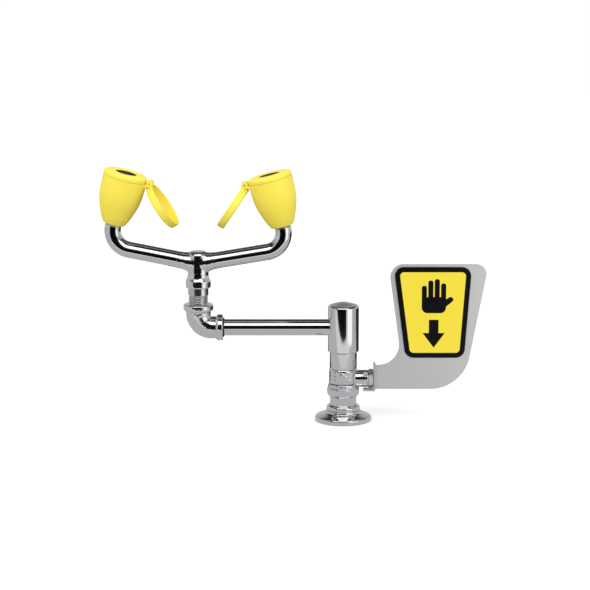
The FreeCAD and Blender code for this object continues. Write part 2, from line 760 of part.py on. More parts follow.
def build_ball_and_stem():
    ball = Part.makeSphere(ball_r, V(0, 0, stem_z))
    ball = ball.cut(Part.makeCylinder(ball_bore_r, 4 * ball_r, V(0, -2 * ball_r, stem_z), Y_AXIS))
    slot = block((tang_depth_x, -ball_r, stem_z - tang_width / 2),
                 (ball_r + 1, ball_r, stem_z + tang_width / 2))
    save("valve_ball", ball.cut(slot))
    tang_y = sqrt(stem_collar_r ** 2 - (tang_width / 2) ** 2) - 0.2
    tang = block((tang_depth_x, -tang_y, stem_z - tang_width / 2),
                 (stem_collar_in, tang_y, stem_z + tang_width / 2))
    collar = rod_x(stem_collar_r, stem_collar_in, stem_collar_out, stem_z)
    shaft = rod_x(stem_r, stem_collar_in, flag_tab_x, stem_z)
    end = stem_section(flag_tab_x, stem_end_x)
    save("valve_stem", tang.fuse([collar, shaft, end]).removeSplitter())


def stem_section(low, high):
    """Stem end with two flats."""
    return rod_x(stem_r, low, high, stem_z).common(
        block((low - 1, -stem_flat, stem_z - stem_r - 1), (high + 1, stem_flat, stem_z + stem_r + 1)))


def flag_outline():
    """Corners (x, z, rounding) of the blade beyond the bend."""
    start = flag_tab_x + flag_thick + flag_bend
    return [(start, flag_low, 0), (124.5, flag_low, 40.0), (150.0, flag_top, 11.0), (46.3, flag_top, 14.0),
            (60.8, flag_neck_top, 22.0), (start, flag_neck_top, 0)]


def build_flag():
    blade = outline_face(flag_outline(), lambda a, b: V(a, -flag_front, b)).extrude(V(0, flag_thick, 0))
    outer = flag_bend + flag_thick
    bend_centre = (flag_tab_x + outer, -flag_front + outer)
    height = flag_neck_top - flag_low
    bend = Part.makeCylinder(outer, height, V(bend_centre[0], bend_centre[1], flag_low))
    bend = bend.cut(Part.makeCylinder(flag_bend, height, V(bend_centre[0], bend_centre[1], flag_low)))
    bend = bend.common(block((bend_centre[0] - outer, bend_centre[1] - outer, flag_low),
                             (bend_centre[0], bend_centre[1], flag_neck_top)))
    tab_corners = [(bend_centre[1], flag_low, 0), (-lip_half, flag_low, 0), (-lip_half, lip_low, 0),
                   (lip_half, lip_low, 0), (lip_half, flag_low, 0), (flag_tab_back, flag_low, 2.5),
                   (flag_tab_back, flag_neck_top, 4.0), (bend_centre[1], flag_neck_top, 0)]
    tab = outline_face(tab_corners, lambda a, b: V(flag_tab_x, a, b)).extrude(V(flag_thick, 0, 0))
    lip = block((flag_tab_x - lip_length, -lip_half, lip_low), (flag_tab_x, lip_half, lip_low + flag_thick))
    flag = blade.fuse([bend, tab, lip]).removeSplitter()
    save("push_flag", flag.cut(stem_section(flag_tab_x - 1, flag_tab_x + flag_thick + 1)))


def build_sign():
    corners = [(51.8, 165.4, 9.5), (132.5, 165.4, 9.5), (125.3, 69.7, 9.5), (64.4, 69.7, 9.5)]
    face = outline_face(corners, lambda a, b: V(a, -flag_front - sign_thick, b))
    save("sign_plate", face.extrude(V(0, sign_thick, 0)))


def build_handle_fixing():
    washer_low = flag_tab_x + flag_thick
    nut_low = washer_low + washer_x
    save("lock_washer", about_stem([(stem_r, washer_low), (washer_out_r, washer_low), (washer_out_r, nut_low),
                                    (stem_r, nut_low)]))
    save("handle_nut", chamfered_nut(handle_nut_flats, nut_low, nut_low + handle_nut_x, stem_r))


build_flange()
build_riser()
build_end_cap()
build_valve_body()
build_seats()
build_gland()
build_post()
build_swivel_rings()
build_swivel_body()
build_swivel_cap()
build_pipe()
build_elbow()
build_nipple()
build_hub()
tube_trim = build_arm_tubes()
build_adapter(tube_trim)
build_shell()
build_head_ring()
build_head_inside()
build_caps()
build_ball_and_stem()
build_flag()
build_sign()
build_handle_fixing()
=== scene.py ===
import json
import math
import bpy
import bmesh
from mathutils import Matrix, Vector

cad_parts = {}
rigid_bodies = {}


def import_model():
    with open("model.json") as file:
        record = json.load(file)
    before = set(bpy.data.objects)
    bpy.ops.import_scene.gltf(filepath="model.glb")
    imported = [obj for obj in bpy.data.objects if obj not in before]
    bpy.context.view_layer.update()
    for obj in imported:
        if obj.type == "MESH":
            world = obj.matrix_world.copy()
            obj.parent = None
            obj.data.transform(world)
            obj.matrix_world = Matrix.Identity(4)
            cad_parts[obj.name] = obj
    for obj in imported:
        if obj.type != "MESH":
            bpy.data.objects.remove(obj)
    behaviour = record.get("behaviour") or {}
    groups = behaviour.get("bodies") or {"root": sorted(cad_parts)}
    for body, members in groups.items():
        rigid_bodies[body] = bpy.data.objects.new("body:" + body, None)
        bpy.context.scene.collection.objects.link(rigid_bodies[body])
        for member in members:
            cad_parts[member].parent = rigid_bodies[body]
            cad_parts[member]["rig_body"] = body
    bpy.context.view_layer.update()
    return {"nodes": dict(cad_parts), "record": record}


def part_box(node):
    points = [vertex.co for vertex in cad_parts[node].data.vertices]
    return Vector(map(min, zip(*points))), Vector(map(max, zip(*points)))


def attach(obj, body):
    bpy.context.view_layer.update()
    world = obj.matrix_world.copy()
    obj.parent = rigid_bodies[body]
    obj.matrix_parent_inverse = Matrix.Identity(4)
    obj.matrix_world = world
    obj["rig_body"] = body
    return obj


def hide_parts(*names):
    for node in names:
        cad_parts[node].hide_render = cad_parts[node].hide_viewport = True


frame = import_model()
record = frame["record"]
nodes = frame["nodes"]
mm = 0.001
print("frame loaded:", len(nodes), "nodes")


# ---- finishes ----

class Wire:
    # one socket of a material's node tree, so shader maths can be written as sums
    def __init__(self, tree, socket):
        self.tree, self.socket = tree, socket

    def join(self, operation, first, second):
        node = self.tree.nodes.new("ShaderNodeMath")
        node.operation = operation
        for slot, value in zip(node.inputs, (first, second)):
            if isinstance(value, Wire):
                self.tree.links.new(value.socket, slot)
            else:
                slot.default_value = value
        return Wire(self.tree, node.outputs[0])

    def __add__(self, other):
        return self.join("ADD", self, other)

    def __radd__(self, other):
        return self.join("ADD", other, self)

    def __sub__(self, other):
        return self.join("SUBTRACT", self, other)

    def __rsub__(self, other):
        return self.join("SUBTRACT", other, self)

    def __mul__(self, other):
        return self.join("MULTIPLY", self, other)

    def __rmul__(self, other):
        return self.join("MULTIPLY", other, self)

    def __pow__(self, other):
        return self.join("POWER", self, other)


class Finish:
    def __init__(self, name, constants):
        self.material = bpy.data.materials.new(name)
        self.material.use_nodes = True
        self.tree = self.material.node_tree
        self.shader = self.tree.nodes["Principled BSDF"]
        for socket, value in constants.items():
            self.shader.inputs[socket].default_value = value
        self.coords = self.node("ShaderNodeTexCoord", {}, {}, "Object")

    def node(self, kind, settings, inputs, output=0):
        made = self.tree.nodes.new(kind)
        for key, value in settings.items():
            if key == "stops":
                for stop, (place, colour) in zip(self.rampStops(made, len(value)), value):
                    stop.position, stop.color = place, colour
            else:
                setattr(made, key, value)
        for key, value in inputs.items():
            if isinstance(value, Wire):
                self.tree.links.new(value.socket, made.inputs[key])
            else:
                made.inputs[key].default_value = value
        return Wire(self.tree, made.outputs[output])

    def rampStops(self, ramp, count):
        while len(ramp.color_ramp.elements) < count:
            ramp.color_ramp.elements.new(0.5)
        return ramp.color_ramp.elements

    def noise(self, scale, detail=2.0, rough=0.5, coords=None):
        return self.node("ShaderNodeTexNoise", {}, {"Vector": coords or self.coords, "Scale": scale,
                                                     "Detail": detail, "Roughness": rough}, "Fac")

    def stretched(self, scale):
        return self.node("ShaderNodeMapping", {}, {"Vector": self.coords, "Scale": scale})

    def ramp(self, value, low, high):
        return self.node("ShaderNodeMapRange", {"clamp": True},
                         {"Value": value, "From Min": low, "From Max": high})

    def blend(self, factor, first, second):
        return self.node("ShaderNodeMix", {"data_type": "RGBA"},
                         {"Factor": factor, "A": first, "B": second}, 2)

    def bump(self, height, strength, distance, under=None):
        inputs = {"Height": height, "Strength": strength, "Distance": distance}
        if under:
            inputs["Normal"] = under
        return self.node("ShaderNodeBump", {}, inputs, "Normal")

    def feed(self, **links):
        for name, value in links.items():
            self.tree.links.new(value.socket, self.shader.inputs[name.replace("_", " ")])
        return self.material


def plated(name, colour, roughness, ripple, grime=0.0):
    # plated metal: a mirror with faint waviness, and dulling where hands and water leave it
    finish = Finish(name, {"Metallic": 1.0, "Specular IOR Level": 0.5})
    haze = finish.noise(38.0, 4.0, 0.6)
    specks = finish.noise(2600.0, 2.0)
    tone = finish.blend(haze * 0.5, (*colour, 1), (*[c * 0.93 for c in colour], 1))
    if grime:
        patches = finish.ramp(finish.noise(160.0, 5.0, 0.65), 0.45, 0.75)
        tone = finish.blend(patches * grime, tone, (*[c * 0.55 for c in colour], 1))
    wave = finish.bump(finish.noise(95.0, 2.0, 0.4), ripple, 0.0006)
    return finish.feed(Base_Color=tone, Roughness=roughness + haze * 0.03 + specks * 0.02, Normal=wave)


def castPlated(name, colour, roughness):
    # plated casting: soft lumps and fine pitting under the plate
    finish = Finish(name, {"Metallic": 1.0, "Specular IOR Level": 0.5})
    lumps = finish.noise(210.0, 3.0, 0.5)
    pits = finish.ramp(finish.noise(900.0, 2.0, 0.6), 0.62, 0.8)
    tone = finish.blend(pits * 0.5, (*colour, 1), (*[c * 0.7 for c in colour], 1))
    fine = finish.bump(pits, 0.12, 0.0002)
    wave = finish.bump(lumps, 0.34, 0.0011, fine)
    return finish.feed(Base_Color=tone, Roughness=roughness + lumps * 0.06, Normal=wave)


def satinSteel(name):
    # sheet finished with a belt: fine vertical grain, a few longer scratches
    finish = Finish(name, {"Metallic": 1.0, "Specular IOR Level": 0.5, "Anisotropic": 0.4})
    grain = finish.noise(1.0, 3.0, 0.6, finish.stretched((3200.0, 900.0, 45.0)))
    cloud = finish.noise(14.0, 3.0)
    scratch = finish.ramp(finish.noise(1.0, 1.0, 0.5, finish.stretched((900.0, 300.0, 9.0))), 0.68, 0.76)
    tone = finish.blend(grain, (0.92, 0.92, 0.92, 1), (0.84, 0.84, 0.845, 1))
    tone = finish.blend(cloud * 0.4, tone, (0.95, 0.95, 0.95, 1))
    relief = finish.bump(grain + scratch * 0.6, 0.08, 0.0001)
    return finish.feed(Base_Color=tone, Roughness=0.44 + grain * 0.12 + cloud * 0.05, Normal=relief)


def moulded(name, colour, shade, roughness, grainScale=1400.0, grain=0.05, specular=0.42):
    # moulded plastic: slight colour drift, fine spark texture, scuffs that shine less
    finish = Finish(name, {"Metallic": 0.0, "Specular IOR Level": specular})
    drift = finish.noise(24.0, 3.0)
    spark = finish.noise(grainScale, 2.0, 0.55)
    scuff = finish.ramp(finish.noise(1.0, 4.0, 0.7, finish.stretched((120.0, 340.0, 120.0))), 0.62, 0.85)
    tone = finish.blend(drift, (*colour, 1), (*shade, 1))
    tone = finish.blend(scuff * 0.18, tone, (*[min(1.0, c * 1.12 + 0.03) for c in colour], 1))
    relief = finish.bump(spark, grain, 0.00012)
    return finish.feed(Base_Color=tone, Roughness=roughness + spark * 0.08 + scuff * 0.1, Normal=relief)


chromeColour = (0.80, 0.81, 0.825)
polishedChrome = plated("polished chrome", chromeColour, 0.035, 0.03)
turnedChrome = plated("turned chrome", chromeColour, 0.1, 0.06)
satinChrome = plated("satin chrome", (0.86, 0.87, 0.88), 0.42, 0.05)
castChrome = castPlated("cast chrome", chromeColour, 0.07)
threadChrome = plated("threaded chrome", (0.72, 0.72, 0.73), 0.14, 0.1, 0.4)
handleSteel = satinSteel("satin stainless sheet")
hardwareSteel = plated("plain stainless hardware", (0.60, 0.60, 0.60), 0.22, 0.08, 0.2)
headYellow = moulded("yellow moulding", (0.95, 0.795, 0.085), (0.93, 0.765, 0.07), 0.42)
discBlack = moulded("black moulding", (0.018, 0.018, 0.018), (0.03, 0.03, 0.028), 0.45)
sealWhite = moulded("natural sealing plastic", (0.82, 0.81, 0.77), (0.78, 0.77, 0.72), 0.5)
sealRubber = moulded("black rubber", (0.02, 0.02, 0.02), (0.03, 0.03, 0.03), 0.62, 900.0, 0.12)
signYellow = moulded("laminate yellow", (0.92, 0.735, 0.048), (0.90, 0.715, 0.043), 0.26, 2200.0, 0.015)
signBlack = moulded("laminate black", (0.002, 0.002, 0.003), (0.004, 0.004, 0.005), 0.3, 2200.0, 0.015, 0.14)

slotFinish = {"chrome": turnedChrome, "stainless": handleSteel, "steel": hardwareSteel,
              "yellow_plastic": headYellow, "dark_plastic": discBlack, "white_plastic": sealWhite,
              "rubber": sealRubber, "sign_face": signYellow}
for part in record["subparts"]:
    mesh = nodes[part["node"]].data
    mesh.materials.clear()
    mesh.materials.append(slotFinish[part["material_slot"]])
print("finishes on every node")


# ---- shapes, built in millimetres and scaled when each piece is finished ----

slotOf = {part["node"]: part["material_slot"] for part in record["subparts"]}
bodyOf = {node: thing["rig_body"] for node, thing in nodes.items()}
flat = Matrix.Identity(4)


def shifted(x, y, z):
    return Matrix.Translation((x, y, z))


def turnedBy(degrees, axis):
    return Matrix.Rotation(math.radians(degrees), 4, axis)


def middle(node):
    low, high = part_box(node)
    return (Vector(low) + Vector(high)) / (2 * mm)


def finishPiece(bm, name, replaced, materials, sharpAngle=30.0):
    bmesh.ops.remove_doubles(bm, verts=bm.verts, dist=0.004)
    bmesh.ops.dissolve_degenerate(bm, dist=0.002, edges=bm.edges)
    bmesh.ops.recalc_face_normals(bm, faces=bm.faces)
    bmesh.ops.scale(bm, vec=(mm, mm, mm), verts=bm.verts)
    for face in bm.faces:
        face.smooth = True
    for edge in bm.edges:
        if len(edge.link_faces) == 2:
            edge.smooth = edge.calc_face_angle(0) < math.radians(sharpAngle)
    mesh = bpy.data.meshes.new(name)
    bm.to_mesh(mesh)
    bm.free()
    for material in materials:
        mesh.materials.append(material)
    piece = bpy.data.objects.new(name, mesh)
    bpy.context.scene.collection.objects.link(piece)
    normals = piece.modifiers.new("normals", "WEIGHTED_NORMAL")
    normals.keep_sharp = True
    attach(piece, bodyOf[replaced[0]])
    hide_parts(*replaced)
    piece.visible_glossy = slotOf[replaced[0]] != "yellow_plastic"
    return piece


def wireIn(bm, corners, closed, place=flat):
    # a line through corners (a, b) in the XZ plane, each rounded by its third number
    verts = [bm.verts.new(place @ Vector((corner[0], 0, corner[1]))) for corner in corners]
    following = verts[1:] + (verts[:1] if closed else [])
    for pair in zip(verts, following):
        bm.edges.new(pair)
    before = set(bm.verts) - set(verts)
    for vert, corner in zip(verts, corners):
        if len(corner) > 2 and corner[2] > 0:
            bmesh.ops.bevel(bm, geom=[vert], affect="VERTICES", offset=corner[2],
                            segments=6 if corner[2] < 5 else 20, profile=0.5, material=-1)
    return [vert for vert in bm.verts if vert not in before]


def edgesOf(verts):
    chosen = set(verts)
    return [edge for edge in {edge for vert in chosen for edge in vert.link_edges}
            if edge.verts[0] in chosen and edge.verts[1] in chosen]


def lathe(bm, corners, place=flat, steps=112, closed=False):
    before = set(bm.verts)
    line = wireIn(bm, corners, closed)
    bmesh.ops.spin(bm, geom=line + edgesOf(line), cent=(0, 0, 0), axis=(0, 0, 1),
                   angle=math.tau, steps=steps, use_merge=True)
    made = [vert for vert in bm.verts if vert not in before]
    bmesh.ops.transform(bm, matrix=place, verts=made)
    return made


def thread(bm, crest, depth, pitch, low, high, place=flat, steps=56):
    # a V ridge wound upwards, inside a plain core
    before = set(bm.verts)
    turns = (high - low) / pitch - 1
    line = wireIn(bm, [(crest - depth, low), (crest, low + 0.42 * pitch), (crest, low + 0.55 * pitch),
                       (crest - depth, low + 0.95 * pitch)], True)
    bmesh.ops.spin(bm, geom=line + edgesOf(line), cent=(0, 0, 0), axis=(0, 0, 1),
                   dvec=(0, 0, pitch / steps), angle=math.tau * turns, steps=round(steps * turns))
    made = [vert for vert in bm.verts if vert not in before]
    ends = [edge for edge in edgesOf(made) if edge.is_boundary]
    bmesh.ops.holes_fill(bm, edges=ends, sides=4)
    bmesh.ops.transform(bm, matrix=place, verts=made)


def slab(bm, corners, near, far, place=flat, edge=0.0):
    # an outline in the XZ plane given thickness along Y, with eased edges
    before = set(bm.verts)
    line = wireIn(bm, corners, True)
    face = bmesh.ops.contextual_create(bm, geom=edgesOf(line))["faces"][0]
    bmesh.ops.translate(bm, vec=(0, near, 0), verts=line)
    far = bmesh.ops.extrude_face_region(bm, geom=[face], use_keep_orig=True)["geom"], far - near
    moved = [item for item in far[0] if isinstance(item, bmesh.types.BMVert)]
    bmesh.ops.translate(bm, vec=(0, far[1], 0), verts=moved)
    made = [vert for vert in bm.verts if vert not in before]
    if edge:
        rims = [e for e in edgesOf(made) if abs(e.verts[0].co.y - e.verts[1].co.y) < 0.001]
        bmesh.ops.bevel(bm, geom=rims, affect="EDGES", offset=edge, segments=3, profile=0.5, material=-1)
        made = [vert for vert in bm.verts if vert not in before]
    bmesh.ops.transform(bm, matrix=place, verts=made)
    return made


def reworked(bm, *modifiers):
    # the mesh after these modifiers, as a new bmesh
    mesh = bpy.data.meshes.new("work")
    bmesh.ops.recalc_face_normals(bm, faces=bm.faces)
    bm.to_mesh(mesh)
    bm.free()
    work = bpy.data.objects.new("work", mesh)
    bpy.context.scene.collection.objects.link(work)
    for kind, settings in modifiers:
        modifier = work.modifiers.new(kind, kind)
        for key, value in settings.items():
            setattr(modifier, key, value)
    bpy.context.view_layer.update()
    result = bpy.data.meshes.new_from_object(work.evaluated_get(bpy.context.evaluated_depsgraph_get()))
    bpy.data.objects.remove(work)
    fresh = bmesh.new()
    fresh.from_mesh(result)
    return fresh


def melted(bm, voxel, rounds):
    # overlapping shapes joined into one skin, softened where they meet
    return reworked(bm, ("REMESH", {"mode": "VOXEL", "voxel_size": voxel}),
                    ("SMOOTH", {"factor": 0.5, "iterations": rounds}))


def carved(bm, cutter):
    mesh = bpy.data.meshes.new("cutter")
    bmesh.ops.recalc_face_normals(cutter, faces=cutter.faces)
    cutter.to_mesh(mesh)
    cutter.free()
    tool = bpy.data.objects.new("cutter", mesh)
    bpy.context.scene.collection.objects.link(tool)
    fresh = reworked(bm, ("BOOLEAN", {"operation": "DIFFERENCE", "object": tool, "solver": "EXACT"}))
    bpy.data.objects.remove(tool)
    return fresh


def smoothLine(points, parts=4):
    line = []
    for i in range(len(points) - 1):
        before, start, stop, after = (Vector(points[min(max(j, 0), len(points) - 1)]) for j in (i - 1, i, i + 1, i + 2))
        for k in range(parts):
            t = k / parts
            line.append(0.5 * (2 * start + (stop - before) * t + (2 * before - 5 * start + 4 * stop - after) * t * t
                               + (3 * start - before - 3 * stop + after) * t ** 3))
    return line + [Vector(points[-1])]


stemZ = middle("valve_stem").z
armZ = middle("arm_pipe").z
armReach = middle("yoke_nipple").x
print("shape tools ready")

# ---- deck flange and riser ----

flange = {"radius": 29.3, "rim": 5.4, "coneTop": 8.5, "bossRadius": 18.3, "upperRadius": 17.3,
          "groove": 11.5, "top": 17.2, "bore": 13.8}
bm = bmesh.new()
lathe(bm, [(flange["bore"] + 0.1, 0.2), (flange["radius"] - 1.0, 0.2, 0.2), (flange["radius"], 1.0, 0.5),
           (flange["radius"], flange["rim"], 1.6), (flange["bossRadius"] + 1.4, flange["coneTop"] - 0.2, 1.2),
           (flange["bossRadius"], flange["coneTop"] + 1.4, 0.8), (flange["bossRadius"], flange["groove"], 0.9),
           (flange["upperRadius"] - 0.6, flange["groove"] + 0.3, 0.2), (flange["upperRadius"] - 0.6, flange["groove"] + 0.8, 0.2),
           (flange["upperRadius"], flange["groove"] + 1.2, 0.3), (flange["upperRadius"], flange["top"] - 0.6, 2.2),
           (flange["bore"] + 1.4, flange["top"], 0.6), (flange["bore"] + 0.1, flange["top"] - 0.5)], closed=True)
finishPiece(bm, "flange", ["deck_flange"], [turnedChrome])

riser = {"radius": 13.8, "top": 26.1, "wall": 9.5, "inlet": 14.0, "water": 5.8}
bm = bmesh.new()
lathe(bm, [(riser["wall"], 0.1, 0.3), (riser["radius"], 0.1, 0.3), (riser["radius"], riser["top"], 0.3),
           (riser["water"], riser["top"]), (riser["water"], riser["inlet"] + 3.5), (riser["wall"], riser["inlet"])], closed=True)
thread(bm, riser["wall"] + 0.1, 1.1, 1.814, 0.6, riser["inlet"])
finishPiece(bm, "riser", ["inlet_nipple"], [polishedChrome])

# ---- valve: end cap, body with boss and stop lugs, post neck ----

endCap = {"low": 26.1, "lowRadius": 14.5, "radius": 16.7, "stepZ": 35.8, "neckRadius": 15.5, "split": 40.6}
bm = bmesh.new()
lathe(bm, [(10.0, endCap["low"] + 0.1), (endCap["lowRadius"], endCap["low"] + 0.1, 0.4), (endCap["radius"], endCap["low"] + 2.7, 1.2),
           (endCap["radius"], endCap["stepZ"] - 0.5, 0.8), (endCap["neckRadius"] - 0.3, endCap["stepZ"] + 0.2, 0.2),
           (endCap["neckRadius"] - 0.3, endCap["stepZ"] + 0.8, 0.2), (endCap["neckRadius"] + 0.2, endCap["stepZ"] + 1.2, 0.4),
           (endCap["neckRadius"], endCap["split"] - 0.9, 0.4), (endCap["neckRadius"] - 0.8, endCap["split"] - 0.4),
           (10.0, endCap["split"] - 0.4)], closed=True)
finishPiece(bm, "valveEndCap", ["valve_end_cap"], [castChrome])

valve = {"radius": 14.65, "top": 55.9, "bossRadius": 9.1, "bossEnd": 26.0, "lugRadius": 12.6, "lugStart": 21.0,
         "lugEnd": 25.6, "lugNear": 5.4, "lugFar": 8.0, "seatBore": 11.0, "seatTop": 54.0, "neckBore": 9.0, "stemBore": 4.1,
         "packingBore": 6.5, "packingStart": 17.0}
alongStem = shifted(0, 0, stemZ) @ turnedBy(90, "Y")
bm = bmesh.new()
lathe(bm, [(0, endCap["split"]), (valve["radius"], endCap["split"], 0.4), (valve["radius"], valve["top"] - 1.2, 0.8),
           (valve["radius"] - 0.8, valve["top"]), (0, valve["top"])])
lathe(bm, [(0, 3.0), (valve["bossRadius"] - 0.5, 3.0), (valve["bossRadius"], 19.0), (valve["bossRadius"], valve["bossEnd"], 0.6),
           (0, valve["bossEnd"])], alongStem)
for lowY, highY, lowZ, highZ in ((valve["lugNear"], valve["lugFar"], -10.3, -4.5), (-10.3, -4.5, valve["lugNear"], valve["lugFar"])):
    size = Vector((valve["lugEnd"] - valve["lugStart"], highY - lowY, highZ - lowZ))
    centre = Vector(((valve["lugStart"] + valve["lugEnd"]) / 2, (lowY + highY) / 2, stemZ + (lowZ + highZ) / 2))
    bmesh.ops.create_cube(bm, size=1, matrix=Matrix.Translation(centre) @ Matrix.Diagonal((*size, 1)))
flow = {"tip": 53.6, "wing": 49.4, "foot": 43.4, "halfWing": 3.4, "halfStem": 1.3}
slab(bm, [(0, flow["tip"]), (flow["halfWing"], flow["wing"]), (flow["halfStem"], flow["wing"]), (flow["halfStem"], flow["foot"]),
          (-flow["halfStem"], flow["foot"]), (-flow["halfStem"], flow["wing"]), (-flow["halfWing"], flow["wing"])],
     -valve["radius"] - 0.75, -valve["radius"] + 2.0, turnedBy(-6, "Z"))
for turn in (-44, 32):
    for low in (44.2, 48.0, 51.8):
        slab(bm, [(-2.6, low), (2.6, low), (2.6, low + 1.6), (-2.6, low + 1.6)], -valve["radius"] - 0.5, -valve["radius"] + 2.0, turnedBy(turn, "Z"))
bm = melted(bm, 0.42, 4)
cavity = bmesh.new()
lathe(cavity, [(0, endCap["split"] - 1), (valve["seatBore"], endCap["split"] - 1), (valve["seatBore"], valve["seatTop"]),
               (valve["neckBore"], valve["seatTop"]), (valve["neckBore"], valve["top"] + 1), (0, valve["top"] + 1)], steps=64)
bm = carved(bm, cavity)
bore = bmesh.new()
lathe(bore, [(0, 5.0), (valve["stemBore"], 5.0), (valve["stemBore"], valve["packingStart"]),
             (valve["packingBore"], valve["packingStart"]), (valve["packingBore"], valve["bossEnd"] + 1), (0, valve["bossEnd"] + 1)],
      alongStem, 48)
bm = carved(bm, bore)
finishPiece(bm, "valveBody", ["valve_body"], [castChrome], 60)

post = {"radius": 14.15, "top": 73.9, "washer": 12.9}
bm = bmesh.new()
lathe(bm, [(11.0, valve["top"]), (post["radius"] - 0.5, valve["top"], 0.3), (post["radius"], valve["top"] + 0.9, 0.4),
           (post["radius"], post["top"], 0.7), (11.0, post["top"])], closed=True)
finishPiece(bm, "postNeck", ["swivel_post", "thrust_washer"], [turnedChrome])

# ---- swivel body, its cap and plug ----

swivel = {"radius": 16.2, "low": 74.3, "top": 123.2, "capRadius": 13.0, "domeTop": 126.2, "plugRadius": 3.0, "hex": 2.4}
bm = bmesh.new()
lathe(bm, [(11.0, swivel["low"]), (swivel["radius"] - 0.1, swivel["low"], 0.5), (swivel["radius"], swivel["top"] + 0.1, 2.9),
           (swivel["capRadius"] + 0.1, swivel["top"] - 0.05, 0.3), (swivel["capRadius"] + 0.1, swivel["top"] - 4.0),
           (11.0, swivel["top"] - 4.0)], closed=True)
finishPiece(bm, "swivelBody", ["swivel_body"], [polishedChrome])

rise = swivel["domeTop"] - swivel["top"]
domeRadius = (swivel["capRadius"] ** 2 + rise ** 2) / (2 * rise)
dome = [(r, swivel["domeTop"] - domeRadius + math.sqrt(domeRadius ** 2 - r ** 2)) for r in (12.2, 10.6, 9.0, 7.4, 5.8, 4.4)]
bm = bmesh.new()
lathe(bm, [(9.0, swivel["top"] - 3.0), (swivel["capRadius"] - 0.3, swivel["top"] - 3.0), (swivel["capRadius"] - 0.3, swivel["top"] - 0.2),
           (12.7, swivel["top"] + 0.25)] + dome + [(3.5, dome[-1][1] + 0.05, 0.4), (3.1, dome[-1][1] - 0.6), (3.1, swivel["top"]),
           (9.0, swivel["top"])], closed=True)
finishPiece(bm, "swivelCap", ["swivel_cap"], [satinChrome])

bm = bmesh.new()
plugTop = dome[-1][1] - 0.5
lathe(bm, [(0, plugTop - 3.2), (2.95, plugTop - 3.2), (2.95, plugTop, 0.4), (0, plugTop)], steps=48)
cutter = bmesh.new()
bmesh.ops.create_cone(cutter, cap_ends=True, segments=6, radius1=swivel["hex"] / math.sqrt(3),
                      radius2=swivel["hex"] / math.sqrt(3) + 0.02, depth=6.0, matrix=shifted(0, 0, plugTop + 0.8))
bm = carved(bm, cutter)
finishPiece(bm, "swivelPlug", ["swivel_plug"], [hardwareSteel])
print("deck, valve and swivel ready")

# ---- arm pipe, black ring at the elbow mouth, and elbow ----

pipe = {"radius": 8.5725, "bore": 6.26, "tubeBore": 6.9, "start": -12.6, "engaged": 12.5}
elbow = {"mouth": 25.5, "top": 124.3, "bead": 6.2, "beadRadius": 15.6, "sideBead": 5.8, "sideBeadRadius": 13.7,
         "legRadius": 12.9, "sideRadius": 11.6, "bend": 14.5}
mouthX = armReach + elbow["mouth"]
alongArm = shifted(0, 0, armZ) @ turnedBy(90, "Y")
bm = bmesh.new()
lathe(bm, [(pipe["bore"], mouthX - pipe["engaged"] + 0.1), (pipe["radius"], mouthX - pipe["engaged"] + 0.1), (pipe["radius"], pipe["start"]),
           (pipe["bore"], pipe["start"])], alongArm, closed=True)
finishPiece(bm, "armPipe", ["arm_pipe"], [polishedChrome])

# a thin black ring round the pipe at the elbow mouth, darker than the chrome on both sides of it
bm = bmesh.new()
lathe(bm, [(pipe["radius"] + 0.02, mouthX), (10.0, mouthX, 0.4), (10.0, mouthX + 1.6, 0.7), (pipe["radius"] + 0.02, mouthX + 1.6)], alongArm, closed=True)
finishPiece(bm, "elbowMouthRing", ["pipe_seal_ring"], [sealRubber])

bm = bmesh.new()
made = bmesh.ops.create_circle(bm, cap_ends=True, radius=elbow["sideRadius"], segments=64,
                               matrix=shifted(elbow["mouth"] - 2.0, 0, armZ) @ turnedBy(90, "Y"))["verts"]
end = bmesh.ops.extrude_face_region(bm, geom=[made[0].link_faces[0]], use_keep_orig=True)["geom"]
endVerts = [item for item in end if isinstance(item, bmesh.types.BMVert)]
bmesh.ops.translate(bm, vec=(elbow["bend"] - elbow["mouth"] + 2.0, 0, 0), verts=endVerts)
endFace = [item for item in end if isinstance(item, bmesh.types.BMFace)]
bentSteps = 14
growth = (elbow["legRadius"] / elbow["sideRadius"]) ** (1 / bentSteps)
for step in range(bentSteps):
    end = bmesh.ops.extrude_face_region(bm, geom=endFace)["geom"]
    endFace = [item for item in end if isinstance(item, bmesh.types.BMFace)]
    endVerts = [item for item in end if isinstance(item, bmesh.types.BMVert)]
    hinge = shifted(elbow["bend"], 0, armZ + elbow["bend"])
    bmesh.ops.transform(bm, matrix=hinge @ turnedBy(90 / bentSteps, "Y") @ hinge.inverted(), verts=endVerts)
    centre = sum((vert.co for vert in endVerts), Vector()) / len(endVerts)
    bmesh.ops.transform(bm, matrix=Matrix.Translation(centre) @ Matrix.Scale(growth, 4) @ Matrix.Translation(-centre), verts=endVerts)
end = bmesh.ops.extrude_face_region(bm, geom=endFace)["geom"]
bmesh.ops.translate(bm, vec=(0, 0, elbow["top"] - armZ - elbow["bend"] - 1.0), verts=[item for item in end if isinstance(item, bmesh.types.BMVert)])
lathe(bm, [(0, elbow["top"] - elbow["bead"] - 1.4), (elbow["legRadius"] - 0.4, elbow["top"] - elbow["bead"] - 1.4),
           (elbow["beadRadius"], elbow["top"] - elbow["bead"], 1.2), (elbow["beadRadius"], elbow["top"], 1.4), (0, elbow["top"])])
lathe(bm, [(0, -1.2), (elbow["sideRadius"] - 0.4, -1.2), (elbow["sideBeadRadius"], 0, 1.0), (elbow["sideBeadRadius"], elbow["sideBead"], 1.2),
           (0, elbow["sideBead"])], shifted(elbow["mouth"] - elbow["sideBead"], 0, armZ) @ turnedBy(90, "Y"))
bm = melted(bm, 0.48, 7)
bmesh.ops.translate(bm, vec=(armReach, 0, 0), verts=bm.verts)
finishPiece(bm, "elbowCasting", ["elbow"], [castChrome], 60)

# ---- nipple and yoke hub ----

